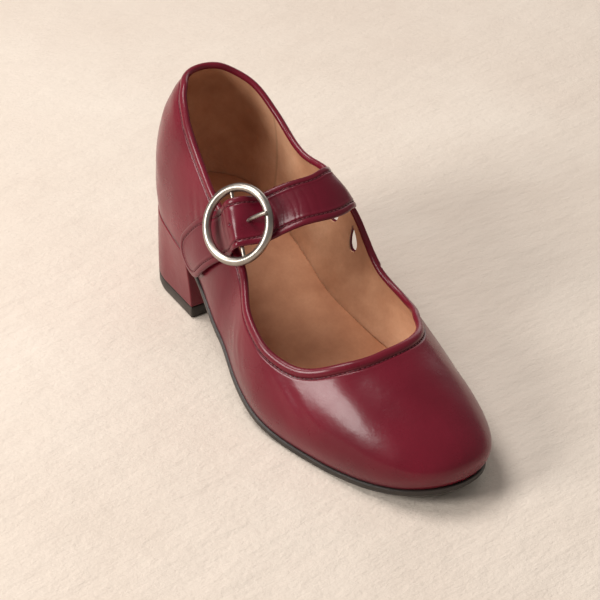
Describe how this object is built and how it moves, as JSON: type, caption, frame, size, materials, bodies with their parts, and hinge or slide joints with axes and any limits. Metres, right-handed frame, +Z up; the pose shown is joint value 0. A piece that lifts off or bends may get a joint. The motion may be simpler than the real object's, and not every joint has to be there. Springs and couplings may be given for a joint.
{
  "type": "mary jane shoe",
  "caption": "Right mary jane shoe with a rounded toe, petal cut-outs on the inner side, an instep strap with a round buckle, and a covered block heel.",
  "frame": {"origin": "on the ground under the middle of the shoe's overall box", "axes": "+Z up, +Y towards the heel's back, +X towards the medial (inner) side, the toe points to -Y"},
  "size_m": [0.0908, 0.243, 0.119],
  "materials": {
    "upper_leather": "smooth satin gloss, deep burgundy",
    "strap_leather": "smooth satin gloss, deep burgundy",
    "buckle_metal": "polished nickel",
    "insole_leather": "matt tan lining leather",
    "sole_black": "matt black",
    "heel_leather": "smooth satin gloss, deep burgundy"
  },
  "bodies": {
    "root": {"upper": "upper_leather", "strap": "strap_leather", "buckle_tab": "strap_leather", "buckle_ring": "buckle_metal", "buckle_prong": "buckle_metal", "insole": "insole_leather", "outsole": "sole_black", "heel_block": "heel_leather", "heel_top_piece": "sole_black"}
  },
  "joints": []
}
